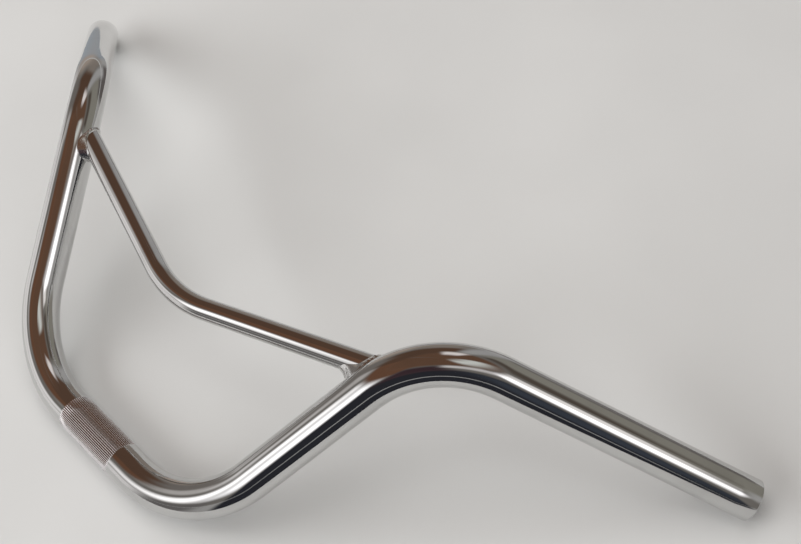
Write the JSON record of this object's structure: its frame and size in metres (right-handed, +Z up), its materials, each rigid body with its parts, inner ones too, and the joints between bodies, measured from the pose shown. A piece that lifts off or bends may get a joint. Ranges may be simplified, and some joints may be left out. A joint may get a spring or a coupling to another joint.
{
  "type": "handlebar",
  "caption": "Chromed steel handlebar bent from one tube, with rising sides, swept-back grips, a knurled clamp section and a bent crossbar welded between the risers.",
  "frame": {"origin": "on the surface that the bar lies on, under the middle of its bounding box", "axes": "+Z up, away from that surface; +X across the bar towards the right grip; +Y from the clamp section towards the grip ends"},
  "size_m": [0.5928, 0.2256, 0.0971],
  "materials": {
    "bright_chrome": "polished",
    "weld_chrome": "plated over rough weld metal"
  },
  "bodies": {
    "root": {"main_tube": "bright_chrome", "crossbar": "bright_chrome", "left_weld": "weld_chrome", "right_weld": "weld_chrome"}
  },
  "joints": []
}
